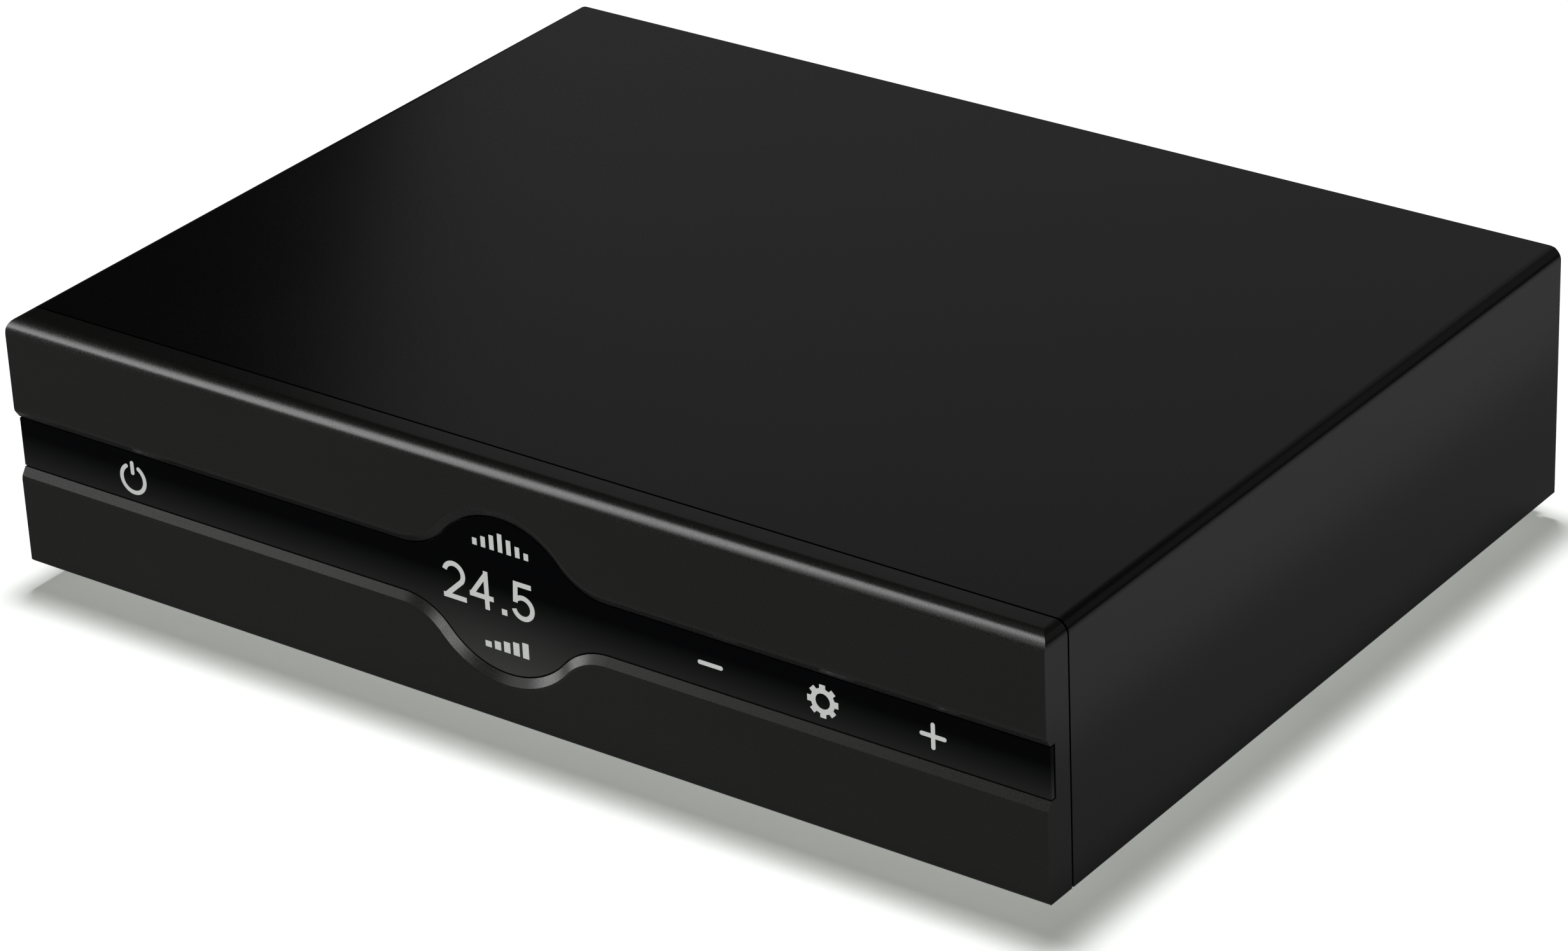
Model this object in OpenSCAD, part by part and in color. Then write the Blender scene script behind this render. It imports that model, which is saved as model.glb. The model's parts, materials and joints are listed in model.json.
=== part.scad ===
/* [Case] */
// Width of the case
case_w = 240; // [236:1:260]
// Depth of the case, from the front face to the rear edge of the cover
case_d = 181; // [181:1:181]
// Height of the case without its feet
case_h = 53.2; // [52.7:0.1:54]
// Radius of the long top edges
corner_r = 2.6; // [1:0.1:3]
// Height of the feet
foot_h = 6; // [4:0.5:10]
// Thickness of the cover's wall and top
cover_t = 3; // [2.5:0.1:3.3]

/* [Front panel] */
// Thickness of the front panel
panel_t = 7.1; // [6.5:0.1:7.5]
// Shadow gap between the panel and the cover
seam_gap = 0.5; // [0.2:0.1:0.8]
// Radius of the rounded upper front edge
brow_r = 3.5; // [1:0.1:4]
// Height of the strip's centre line above the case's lower edge
strip_z = 26.1; // [25:0.1:27]
// Half height of the groove at the front face
strip_half = 7.1; // [6.5:0.1:8]
// Radius of the two arcs of the bulge
bulge_r = 19.5; // [18.5:0.1:20]
// How far past the centre line each arc has its centre
bulge_drop = 1.5; // [1:0.1:2]
// Radius of the fillets that lead into the bulge
flare_r = 12.4; // [10:0.1:14]
// Width of the groove's bevel
bevel_w = 1.6; // [1:0.1:2]
// Depth of the groove's bevel
bevel_d = 1.2; // [0.6:0.1:1.4]
// Thickness of the glossy strip
lens_t = 1; // [0.8:0.1:1.1]
// Depth of the groove
groove_d = 2.7; // [2.6:0.1:2.8]

/* [Rear] */
// How far the line sockets stand out behind the cover
socket_out = 9; // [8:0.5:12]
// Thickness of the rear panel
rear_t = 2.5; // [2:0.1:2.5]
// Tilt of the mains rocker to each side of level
rocker_tilt = 9; // [5:1:10]

/* [Hidden] */
$fn = 48;

// Everything below is set out from the case: x from its middle, y back from the front face,
// z up from its lower edge. at_place() then moves it so that the origin is under the middle.
overall_d = case_d + socket_out;
half_w = case_w / 2;
fit_gap = 0.3;
cut = 1;
inner_x = half_w - cover_t;
inner_z = case_h - cover_t;
cover_y = panel_t + seam_gap;
strip_in = bevel_w + fit_gap;
lens_y = bevel_d;
lens_back = lens_y + lens_t;
flare_z = strip_half + flare_r;
flare_x = sqrt(pow(bulge_r + flare_r, 2) - pow(flare_z + bulge_drop, 2));
flare_a = atan2(flare_z + bulge_drop, flare_x);
flare_steps = 12;
bulge_steps = 26;
bulge_step = (180 - 2 * flare_a) / (bulge_steps + 2);

screw_r = 1.45;
screw_hole_r = 1.6;
boss_x = 106;
boss_low = 9;
boss_high = 43;
flange_y = 16.2;
flange_t = 1.5;
window_r = 16;
window_back_r = 18.5;
touch_x = [-91, 47.2, 71.9, 95.5];
touch_r = 5.5;
board_y = 8.4;
board_t = 1.6;
control_screw = [96, 12, 40];

base_z = 1;
base_t = 2;
base_top = base_z + base_t;
base_screw_x = 113;
base_screw_y = [28, 94, 156];
foot_x = 88;
foot_y = [34, 148];
foot_r = 12;
deck_z = 8;
deck_top = deck_z + board_t;

rear_face = case_d - 0.5;
rear_in = rear_face - rear_t;
rear_screw_x = 112.6;
rear_screw_z = [5.8, 44.5];

inlet_x = -93;
inlet_z = 25;
socket_z = 30.5;
inlet_front = 183;
socket_w = 24.4;
socket_h = 16.8;
socket_cut = 4;
socket_y = 165.5;
blade_at = [[-7, -1], [7, -1], [0, 3]];
blade_back = 150;
drawer_z = 10.1;
drawer_h = 8.4;
drawer_w = 25.2;
drawer_y = 158.5;
fuse_y = 166;
fuse_z = 14.6;

switch_x = -65;
switch_z = 25;
rocker_y = 178;

balanced_x = [97, 68];
balanced_z = 25;
barrel_r = 8.3;
mouth_r = 8.6;
mouth_y = 178.5;
pin_ring = 3.7;
pin_angle = [30, 150, 270];
balanced_screw = [9.5, 12];
line_x = 43;
line_z = [35, 15.5];
coaxial_at = [25, 17.5];
socket_r = 4.15;
optical_x = [10, -3.5];
optical_roof = 20;
shutter_z = 19.2;
shutter_y = 180.4;
port_face = 181.5;
computer_x = -17;
media_x = -32;
network_x = -48;

toroid_at = [-72, 60];
toroid_r = 38;
toroid_hole = 13;
toroid_z = 5;
toroid_h = 30;

module at_place() { translate([0, -overall_d / 2, foot_h]) children(); }
module slab(from, to) { translate(from) cube(to - from); }
module along_y(y0, y1) { translate([0, y1, 0]) rotate([90, 0, 0]) linear_extrude(y1 - y0) children(); }
module rod_y(y0, y1, r) { translate([0, y0, 0]) rotate([-90, 0, 0]) cylinder(h = y1 - y0, r = r); }
module rod_z(z0, z1, r) { translate([0, 0, z0]) cylinder(h = z1 - z0, r = r); }
module rod_x(x0, x1, r) { translate([x0, 0, 0]) rotate([0, 90, 0]) cylinder(h = x1 - x0, r = r); }
module both_sides() { for (s = [0, 1]) mirror([s, 0, 0]) children(); }
module ring(r, width) {
    difference() {
        circle(r = r);
        circle(r = r - width);
    }
}
module stroke(from, to, width) {
    run = to - from;
    translate(from) rotate(atan2(run[1], run[0])) translate([0, -width / 2]) square([norm(run), width]);
}

// A pan head screw along +Z, with its head's underside at z = 0 and a six-sided socket.
module pan_screw(shank, head_r = 2.7, head_h = 1.8) {
    socket_depth = 1.1;
    difference() {
        union() {
            rod_z(-shank, 0, screw_r);
            rod_z(0, head_h, head_r);
        }
        translate([0, 0, head_h - socket_depth]) cylinder(h = cut + socket_depth, r = 1.3, $fn = 6);
    }
}
module screw_back(shank) { rotate([-90, 0, 0]) pan_screw(shank); }
module screw_down(shank) { pan_screw(shank); }
module screw_up(shank) { rotate([180, 0, 0]) pan_screw(shank); }

// The upper edge of the full-width strip, from right to left: flat, flare, bulge, flare, flat.
// Its lower edge is the same turned half round, so the whole outline is both in a row.
function arc_points(centre, r, from, to, steps) =
    [for (k = [0 : steps]) let (a = from + (to - from) * k / steps) centre + r * [cos(a), sin(a)]];
function strip_edge(inset, reach) = concat(
    [[reach, strip_half - inset]],
    arc_points([flare_x, flare_z], flare_r + inset, 270, 180 + flare_a, flare_steps),
    arc_points([0, -bulge_drop], bulge_r - inset,
        flare_a + bulge_step, 180 - flare_a - bulge_step, bulge_steps),
    arc_points([-flare_x, flare_z], flare_r + inset, -flare_a, -90, flare_steps),
    [[-reach, strip_half - inset]]);
function strip_outline(inset, reach) = let (edge = strip_edge(inset, reach)) concat(edge, -edge);

module strip_solid(y0, y1, inset, reach) {
    translate([0, 0, strip_z]) along_y(y0, y1) polygon(strip_outline(inset, reach));
}

// The groove's bevelled mouth, which narrows from depth y0 with inset i0 to depth y1 with inset i1.
module strip_bevel(y0, y1, i0, i1, reach) {
    front = [for (q = strip_outline(i0, reach)) [q[0], y0, q[1]]];
    back = [for (q = strip_outline(i1, reach)) [q[0], y1, q[1]]];
    n = len(front);
    walls = [for (k = [0 : n - 1]) [k, (k + 1) % n, n + (k + 1) % n, n + k]];
    ends = [[for (k = [n - 1 : -1 : 0]) k], [for (k = [0 : n - 1]) n + k]];
    translate([0, 0, strip_z]) polyhedron(concat(front, back), concat(walls, ends), convexity = 6);
}

module case_outline() {
    translate([-half_w, 0]) square([case_w, case_h - corner_r]);
    translate([corner_r - half_w, 0]) square([case_w - 2 * corner_r, case_h]);
    both_sides() translate([half_w - corner_r, case_h - corner_r]) circle(r = corner_r);
}

module front_panel() {
    rim_back = 10.1;
    rim_t = 3;
    rim_x = inner_x - 0.4;
    rim_low = base_top + fit_gap;
    rim_high = inner_z - fit_gap;
    boss_r = 3.6;
    chamfer = 0.5;
    at_place() color("#23262a") difference() {
        union() {
            along_y(0, panel_t) case_outline();
            difference() {
                slab([-rim_x, panel_t, rim_low], [rim_x, rim_back, rim_high]);
                slab([rim_t - rim_x, panel_t - cut, rim_low + rim_t],
                    [rim_x - rim_t, rim_back + cut, rim_high - rim_t]);
            }
            both_sides() for (z = [boss_low, boss_high])
                translate([boss_x, 0, z]) rod_y(panel_t - cut, flange_y - 0.1, boss_r);
            both_sides() for (z = [control_screw[1], control_screw[2]])
                translate([control_screw[0], 0, z]) rod_y(panel_t - cut, board_y - 0.1, 3);
        }
        strip_bevel(-cut, bevel_d, -cut * bevel_w / bevel_d, bevel_w, half_w + cut);
        strip_solid(bevel_d - 0.01, groove_d, bevel_w, half_w + cut);
        translate([0, 0, strip_z]) rod_y(groove_d - cut / 2, panel_t + cut, window_r);
        translate([0, 0, strip_z]) rod_y(groove_d + 1.7, panel_t + cut, window_back_r);
        for (x = touch_x) translate([x, 0, strip_z]) rod_y(groove_d - cut / 2, panel_t + cut, touch_r);
        difference() {
            slab([-half_w - cut, -cut, case_h - brow_r], [half_w + cut, brow_r, case_h + cut]);
            translate([0, brow_r, case_h - brow_r]) rod_x(-half_w - 2 * cut, half_w + 2 * cut, brow_r);
        }
        translate([-half_w - cut, 0, 0]) rotate([90, 0, 90]) linear_extrude(case_w + 2 * cut)
            polygon([[-cut, -cut], [chamfer, -cut], [chamfer, 0], [0, chamfer], [-cut, chamfer]]);
        both_sides() for (z = [boss_low, boss_high])
            translate([boss_x, 0, z]) rod_y(panel_t, flange_y, screw_hole_r);
        both_sides() for (z = [control_screw[1], control_screw[2]])
            translate([control_screw[0], 0, z]) rod_y(panel_t - 4, board_y, screw_hole_r);
    }
}

module display_lens() {
    at_place() color("#0b0c0f") strip_solid(lens_y, lens_back, strip_in, half_w);
}

// Four patches of tape, which leave the display and the touch keys free.
module lens_adhesive() {
    border = 1.2;
    bulge_reach = 23;
    at_place() color("#111111") difference() {
        strip_solid(lens_back, groove_d, strip_in + border, half_w - 1);
        slab([-bulge_reach, 0, 0], [bulge_reach, groove_d + cut, case_h]);
        for (x = touch_x) slab([x - touch_r, 0, 0], [x + touch_r, groove_d + cut, case_h]);
    }
}

// Printed marks stand this far in front of the glossy strip.
print_t = 0.08;
print_y = lens_y - print_t;
icon_r = 3.35;
icon_line = 0.85;

// A straight stroke and a part of a ring, both with round ends.
module round_stroke(from, to, width) {
    facing = atan2(to[1] - from[1], to[0] - from[0]);
    polygon(concat(arc_points(to, width / 2, facing - 90, facing + 90, 8),
        arc_points(from, width / 2, facing + 90, facing + 270, 8)));
}
module round_arc(r, from, to, width) {
    mid = r - width / 2;
    polygon(concat(arc_points([0, 0], r, from, to, 32),
        arc_points(mid * [cos(to), sin(to)], width / 2, to + 30, to + 150, 4),
        arc_points([0, 0], r - width, to, from, 32),
        arc_points(mid * [cos(from), sin(from)], width / 2, from + 210, from + 330, 4)));
}

module standby_mark() {
    round_arc(icon_r, 122, 418, icon_line);
    round_stroke([0, 1.3], [0, 3.45], icon_line);
}
module gear_mark() {
    tooth = 1.25;
    teeth = 8;
    difference() {
        union() {
            circle(r = 2.6);
            for (i = [0 : teeth - 1])
                rotate(i * 360 / teeth) translate([-tooth / 2, 0]) square([tooth, icon_r]);
        }
        circle(r = 1.6);
    }
}
module dash_mark(length) { round_stroke([-length / 2, 0], [length / 2, 0], icon_line); }
module plus_mark() {
    dash_mark(4.8);
    rotate(90) dash_mark(4.6);
}

module touch_symbols() {
    at_place() color("#f2f3f1") along_y(print_y, lens_y) translate([0, strip_z]) {
        translate([touch_x[0], -0.4]) standby_mark();
        translate([touch_x[1], -0.2]) dash_mark(4.7);
        translate([touch_x[2], -0.2]) gear_mark();
        translate([touch_x[3], 0]) plus_mark();
    }
}

digit_h = 8;
digit_w = 5.35;
digit_line = 1;
digit_dot = 1.2;
module arc_stroke(r, from, to) {
    wedge = 3 * r;
    intersection() {
        ring(r, digit_line);
        polygon([[0, 0], for (i = [0 : 4]) let (a = from + (to - from) * i / 4) wedge * [cos(a), sin(a)]]);
    }
}
module digit_two() {
    r = digit_w / 2;
    join = 325;
    mid = r - digit_line / 2;
    hub = [r, digit_h - r];
    translate(hub) arc_stroke(r, join - 360, 165);
    stroke([0.6, digit_line / 2], hub + mid * [cos(join), sin(join)], digit_line);
    square([digit_w, digit_line]);
}
module digit_four() {
    stem_x = 3.5;
    bar_z = 2;
    translate([stem_x, 0]) square([digit_line, digit_h]);
    translate([0, bar_z]) square([digit_w + 0.2, digit_line]);
    stroke([0.45, bar_z + 0.5], [stem_x + 0.55, digit_h - 0.55], digit_line * 0.95);
}
module digit_five() {
    r = digit_w / 2;
    translate([r, r]) arc_stroke(r, -165, 135);
    translate([0.75, digit_h - digit_line]) square([4.1, digit_line]);
    stroke([1.25, digit_h], [0.95, digit_h - 4.4], digit_line);
}

// Three digits, with a small level meter above and a row of steps below.
module display_figures() {
    digits_z = 22.3;
    meter_z = 35.4;
    steps_z = 14.4;
    at_place() color("#f2f3f1") along_y(print_y, lens_y) {
        translate([-14.3, digits_z]) digit_two();
        translate([-8, digits_z]) digit_four();
        translate([-0.6, digits_z]) square(digit_dot);
        translate([1.8, digits_z]) digit_five();
        for (i = [-3 : 3]) translate([i * 2 - 0.5, meter_z]) square([1, 3.8 - abs(i) * 0.8]);
        for (i = [-2 : 2]) translate([i * 2.2 - 0.7, steps_z]) square([1.4, 1.2 + (i + 2) * 0.5]);
    }
}

module display_module() {
    at_place() color("#15171b") translate([0, 0, strip_z]) {
        rod_y(groove_d + 0.1, groove_d + 2, window_r - fit_gap);
        rod_y(groove_d + 1.9, board_y - fit_gap, window_back_r - fit_gap);
    }
}

module touch_contacts() {
    pad_y = groove_d + 0.1;
    at_place() color("#c7a85a") for (x = touch_x) translate([x, 0, strip_z]) {
        rod_y(pad_y, pad_y + 0.8, touch_r - fit_gap);
        rod_y(pad_y + 0.7, board_y, 1.5);
    }
}

module control_board() {
    reach_x = 101;
    at_place() color("#17402b") difference() {
        union() {
            slab([-reach_x, board_y, 7.5], [reach_x, board_y + board_t, 45]);
            slab([-18, board_y + board_t, 37], [6, board_y + 5, 43]);
            for (x = touch_x)
                slab([x - 4, board_y + board_t, strip_z - 4], [x + 4, board_y + 2.8, strip_z + 4]);
        }
        both_sides() for (z = [control_screw[1], control_screw[2]])
            translate([control_screw[0], 0, z]) rod_y(board_y - cut, board_y + board_t + cut, screw_hole_r);
    }
}

module control_board_screws() {
    at_place() color("#b8bcc0") both_sides() for (z = [control_screw[1], control_screw[2]])
        translate([control_screw[0], board_y + board_t, z]) screw_back(4.5);
}

module panel_screws() {
    at_place() color("#b8bcc0") both_sides() for (z = [boss_low, boss_high])
        translate([boss_x, flange_y + flange_t, z]) screw_back(9);
}

module top_cover() {
    rail = [7, 12, 7];
    block = 9;
    block_y = [165, rear_in - 0.1];
    at_place() color("#2a2d31") difference() {
        union() {
            difference() {
                along_y(cover_y, case_d) case_outline();
                slab([-inner_x, cover_y - cut, -cut], [inner_x, case_d + cut, inner_z]);
            }
            both_sides() {
                for (y = base_screw_y)
                    slab([inner_x - rail[0], y - rail[1] / 2, base_top + 0.1],
                        [inner_x + cut, y + rail[1] / 2, base_top + rail[2]]);
                slab([inner_x - block, block_y[0], base_top + 0.1],
                    [inner_x + cut, block_y[1], base_top + rail[2]]);
                slab([inner_x - block, block_y[0], inner_z - block],
                    [inner_x + cut, block_y[1], inner_z + cut]);
            }
        }
        both_sides() {
            for (y = base_screw_y)
                translate([base_screw_x, y, 0]) rod_z(base_top - cut, base_top + rail[2] + cut, screw_hole_r);
            for (z = rear_screw_z)
                translate([rear_screw_x, 0, z]) rod_y(block_y[0] + 2, case_d, screw_hole_r);
        }
    }
}

module base_plate() {
    edge_x = inner_x - fit_gap;
    back = rear_in - fit_gap;
    flange_x = 112;
    flange_top = 47;
    vents = 10;
    vent_pitch = 7;
    vent_from = [-2, 118];
    vent_size = [3, 26];
    at_place() color("#3a3d40") difference() {
        union() {
            slab([-edge_x, cover_y, base_z], [edge_x, back, base_top]);
            slab([-flange_x, flange_y, base_z], [flange_x, flange_y + flange_t, flange_top]);
        }
        slab([-98, flange_y - cut, 14], [98, flange_y + flange_t + cut, flange_top + cut]);
        both_sides() {
            for (y = base_screw_y) translate([base_screw_x, y, 0]) rod_z(0, base_top + cut, screw_hole_r);
            for (z = [boss_low, boss_high])
                translate([boss_x, 0, z]) rod_y(flange_y - cut, flange_y + flange_t + cut, screw_hole_r);
            for (y = foot_y) translate([foot_x, y, 0]) rod_z(0, base_top + cut, screw_hole_r);
        }
        for (p = standoff_at) translate(p) rod_z(0, base_top + cut, screw_hole_r);
        translate(toroid_at) rod_z(0, base_top + cut, 2.7);
        for (i = [0 : vents - 1]) translate([vent_from[0] + i * vent_pitch, vent_from[1], 0])
            slab([0, 0, 0], [vent_size[0], vent_size[1], base_top + cut]);
    }
}

// Everything that passes through the rear panel, a little larger than the piece itself.
module rear_openings() {
    along_y(rear_in - cut, rear_face + cut) {
        translate([inlet_x - 14.2, inlet_z - 16.2]) square([28.4, 32.4]);
        translate([switch_x - 6.5, switch_z - 10.4]) square([13, 20.8]);
        for (x = balanced_x) translate([x, balanced_z]) circle(r = 11.9);
        for (x = balanced_x) for (s = [-1, 1])
            translate([x + s * balanced_screw[0], balanced_z + s * balanced_screw[1]])
                circle(r = screw_hole_r);
        for (z = line_z) translate([line_x, z]) circle(r = 5.2);
        translate(coaxial_at) circle(r = 5.2);
        for (x = optical_x) translate([x - 6, deck_top - 0.2]) square([12, 11.8]);
        translate([computer_x - 6.2, deck_top - 0.2]) square([12.4, 11.4]);
        translate([media_x - 7.4, deck_top - 0.2]) square([14.8, 7.6]);
        translate([network_x - 8.2, deck_top - 0.2]) square([16.4, 14]);
        both_sides() for (z = rear_screw_z) translate([rear_screw_x, z]) circle(r = screw_hole_r);
    }
}

module rear_panel() {
    at_place() color("#2a2d31") difference() {
        slab([fit_gap - inner_x, rear_in, fit_gap], [inner_x - fit_gap, rear_face, inner_z - fit_gap]);
        rear_openings();
    }
}

module base_screws() {
    at_place() color("#1c1d1f") both_sides() for (y = base_screw_y)
        translate([base_screw_x, y, base_z]) screw_up(8);
}

module rear_panel_screws() {
    at_place() color("#1c1d1f") both_sides() for (z = rear_screw_z)
        translate([rear_screw_x, rear_face, z]) screw_back(10);
}

module foot(side, y) {
    recess_r = 5;
    recess_h = 3.5;
    at_place() color("#1b1b1c") translate([side * foot_x, y, 0]) difference() {
        union() {
            rod_z(-foot_h, -foot_h + 2, foot_r - 1);
            rod_z(-foot_h + 1, base_z - 0.05, foot_r);
        }
        rod_z(-foot_h - cut, -foot_h + recess_h, recess_r);
        rod_z(-foot_h, base_z + cut, screw_hole_r);
    }
}
module foot_front_left() { foot(-1, foot_y[0]); }
module foot_front_right() { foot(1, foot_y[0]); }
module foot_rear_left() { foot(-1, foot_y[1]); }
module foot_rear_right() { foot(1, foot_y[1]); }

module foot_screws() {
    at_place() color("#b8bcc0") both_sides() for (y = foot_y)
        translate([foot_x, y, -foot_h + 3.45]) screw_up(5.4);
}

// The inlet's recess has two cut corners over the middle blade.
module inlet_recess() {
    side = socket_w / 2;
    high = socket_h / 2;
    translate([inlet_x, socket_z])
        polygon([[-side, -high], [side, -high], [side, high - socket_cut], [side - socket_cut, high],
            [socket_cut - side, high], [-side, high - socket_cut]]);
}

module mains_inlet() {
    at_place() color("#1a1a1c") difference() {
        union() {
            slab([inlet_x - 14, 156, inlet_z - 16], [inlet_x + 14, rear_face + cut, inlet_z + 16]);
            slab([inlet_x - 16, rear_face, inlet_z - 18], [inlet_x + 16, inlet_front, inlet_z + 18]);
        }
        along_y(socket_y, inlet_front + cut) inlet_recess();
        slab([inlet_x - drawer_w / 2, drawer_y, drawer_z],
            [inlet_x + drawer_w / 2, inlet_front + cut, drawer_z + drawer_h]);
        for (b = blade_at) translate([inlet_x + b[0], 0, socket_z + b[1]])
            slab([-1.1, blade_back, -2.1], [1.1, socket_y + cut, 2.1]);
    }
}

module inlet_blades() {
    at_place() color("#c9ccd0") for (b = blade_at) translate([inlet_x + b[0], 0, socket_z + b[1]])
        slab([-1, blade_back, -2], [1, inlet_front - 4.5, 2]);
}

module fuse_drawer() {
    slack = 0.3;
    lip_y = inlet_front + slack;
    at_place() color("#26272a") difference() {
        union() {
            slab([inlet_x - drawer_w / 2 + slack, drawer_y + 0.5, drawer_z + slack],
                [inlet_x + drawer_w / 2 - slack, lip_y + 0.1, drawer_z + drawer_h - slack]);
            slab([inlet_x - 13.5, lip_y, drawer_z - 0.7],
                [inlet_x + 13.5, lip_y + 1.4, drawer_z + drawer_h + 0.5]);
        }
        slab([inlet_x - 10.4, fuse_y - 2.8, drawer_z + 1.6],
            [inlet_x + 10.4, fuse_y + 2.8, drawer_z + drawer_h + cut]);
        slab([inlet_x - 4, lip_y - 1, drawer_z + drawer_h - 1.2],
            [inlet_x + 4, lip_y + 2, drawer_z + drawer_h + cut]);
    }
}

module fuse() {
    at_place() color("#d7dadd") translate([inlet_x, fuse_y, fuse_z]) {
        rod_x(-10, -4.8, 2.5);
        rod_x(4.8, 10, 2.5);
        rod_x(-5, 5, 2.2);
    }
}

module power_switch_body() {
    wall_x = 6.2;
    wall_z = 9.9;
    well_x = 5;
    well_z = 8.9;
    at_place() color("#17181a") translate([switch_x, 0, switch_z]) difference() {
        union() {
            slab([-wall_x, 160, -wall_z], [wall_x, rear_face + cut, wall_z]);
            slab([-7.5, rear_face, -11.2], [7.5, rear_face + 2, 11.2]);
        }
        slab([-well_x, 172, -well_z], [well_x, rear_face + 2 + cut, well_z]);
        translate([0, rocker_y, 0]) rod_x(-wall_x + 0.4, wall_x - 0.4, 1.06);
    }
}

// The rocker's face is a shallow V. It stands with its lower end pressed in.
module power_rocker() {
    wing = 7.7;
    half_x = 4.7;
    at_place() color("#202124") translate([switch_x, rocker_y, switch_z]) rotate([-rocker_tilt, 0, 0]) {
        translate([-half_x, 0, 0]) rotate([90, 0, 90]) linear_extrude(2 * half_x)
            polygon([[-3.5, -2.5], [1.8, -wing], [5.6, -wing], [4, 0],
                [5.6, wing], [1.8, wing], [-3.5, 2.5]]);
        rod_x(-half_x - 0.9, half_x + 0.9, 1);
    }
}

module balanced_output(x) {
    barrel_out = 11.5;
    plate = [13, 15.5];
    at_place() color("#1d1f22") translate([x, 0, balanced_z]) difference() {
        union() {
            rod_y(158, rear_face + cut, barrel_out);
            slab([-plate[0], rear_face, -plate[1]], [plate[0], rear_face + 1.6, plate[1]]);
            rod_y(rear_face, rear_face + 2.2, 10.2);
        }
        rod_y(166, rear_face + 3, barrel_r);
        rod_y(mouth_y, rear_face + 3, mouth_r);
        for (a = pin_angle) translate([pin_ring * cos(a), 0, pin_ring * sin(a)]) rod_y(157, 167, 1.3);
        for (s = [-1, 1]) translate([s * balanced_screw[0], 0, s * balanced_screw[1]])
            rod_y(rear_face - cut, rear_face + 3, screw_hole_r);
    }
}
module balanced_output_left() { balanced_output(balanced_x[0]); }
module balanced_output_right() { balanced_output(balanced_x[1]); }

module balanced_pins() {
    at_place() color("#d8d8d4") for (x = balanced_x) for (a = pin_angle)
        translate([x + pin_ring * cos(a), 0, balanced_z + pin_ring * sin(a)]) {
            rod_y(153, 177, 1.2);
            translate([0, 177, 0]) sphere(r = 1.2);
        }
}

module balanced_screws() {
    at_place() color("#b8bcc0") for (x = balanced_x) for (s = [-1, 1])
        translate([x + s * balanced_screw[0], rear_face + 1.6, balanced_z + s * balanced_screw[1]])
            screw_back(6);
}

module line_socket(x, z) {
    at_place() color("#c9a24a") translate([x, 0, z]) difference() {
        union() {
            rod_y(170, rear_face + 0.5, 4.9);
            translate([0, rear_face, 0]) rotate([-90, 0, 0]) cylinder(h = 1.8, r = 6.4, $fn = 6);
            rod_y(rear_face + 1, overall_d, socket_r);
        }
        rod_y(168, overall_d + cut, 3.2);
    }
}
module line_output_left() { line_socket(line_x, line_z[0]); }
module line_output_right() { line_socket(line_x, line_z[1]); }
module coaxial_input() { line_socket(coaxial_at[0], coaxial_at[1]); }

module socket_insulators() {
    at_place() color("#e9e7e2") for (p = [[line_x, line_z[0]], [line_x, line_z[1]], coaxial_at])
        translate([p[0], 0, p[1]]) difference() {
            rod_y(168, overall_d - 1, 3.1);
            rod_y(175, overall_d, 1.65);
        }
}

module optical_input(x) {
    well_x = 4.6;
    at_place() color("#222326") difference() {
        slab([x - 5.8, 162, deck_top], [x + 5.8, port_face + 0.5, 21]);
        slab([x - well_x, 166, 10.8], [x + well_x, port_face + 1.5, optical_roof]);
        translate([x, shutter_y, shutter_z]) rod_x(-well_x - 0.8, well_x + 0.8, 0.66);
    }
}
module optical_input_one() { optical_input(optical_x[0]); }
module optical_input_two() { optical_input(optical_x[1]); }

// The flap hangs from its upper edge and swings inwards.
module optical_shutter(x) {
    at_place() color("#3a3c40") translate([x, shutter_y, shutter_z]) {
        slab([-4.35, -0.5, -8], [4.35, 0.5, 0.45]);
        rod_x(-5.1, 5.1, 0.58);
    }
}
module optical_shutter_one() { optical_shutter(optical_x[0]); }
module optical_shutter_two() { optical_shutter(optical_x[1]); }

module computer_port() {
    at_place() color("#c3c6c9") difference() {
        slab([computer_x - 6, 164, deck_top], [computer_x + 6, port_face, 20.6]);
        slab([computer_x - 4.2, 168, 11.2], [computer_x + 4.2, port_face + cut, 18.9]);
    }
}

module media_port() {
    at_place() color("#c3c6c9") difference() {
        slab([media_x - 7.2, 162, deck_top], [media_x + 7.2, port_face, 16.8]);
        slab([media_x - 6.4, 166, 10.6], [media_x + 6.4, port_face + cut, 15.8]);
    }
}

module network_port() {
    at_place() color("#b7babd") difference() {
        slab([network_x - 8, 160, deck_top], [network_x + 8, port_face, 23.2]);
        slab([network_x - 5.9, 168, 11.4], [network_x + 5.9, port_face + cut, 18.4]);
        slab([network_x - 3.1, 168, 18], [network_x + 3.1, port_face + cut, 20.4]);
    }
}

module port_contacts() {
    at_place() color("#e4e2dc") {
        slab([computer_x - 2.8, 168, 13.4], [computer_x + 2.8, port_face - 4.3, 16.6]);
        slab([media_x - 5.6, 166, 13.6], [media_x + 5.6, port_face - 4.3, 15.4]);
        slab([network_x - 4.2, 168, 11.5], [network_x + 4.2, port_face - 2, 12.6]);
    }
}

module transformer_winding() {
    shoulder = 6;
    at_place() color("#8a5a2b") translate([toroid_at[0], toroid_at[1], toroid_z]) rotate_extrude()
        polygon([[toroid_hole, shoulder], [toroid_hole + shoulder, 0],
            [toroid_r - shoulder, 0], [toroid_r, shoulder],
            [toroid_r, toroid_h - shoulder], [toroid_r - shoulder, toroid_h],
            [toroid_hole + shoulder, toroid_h], [toroid_hole, toroid_h - shoulder]]);
}

module transformer_pads() {
    pad_r = 33;
    at_place() color("#202020") for (z = [base_top, toroid_z + toroid_h])
        translate([toroid_at[0], toroid_at[1], z]) difference() {
            rod_z(0, toroid_z - base_top, pad_r);
            rod_z(-cut, toroid_z, 3);
        }
}

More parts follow.
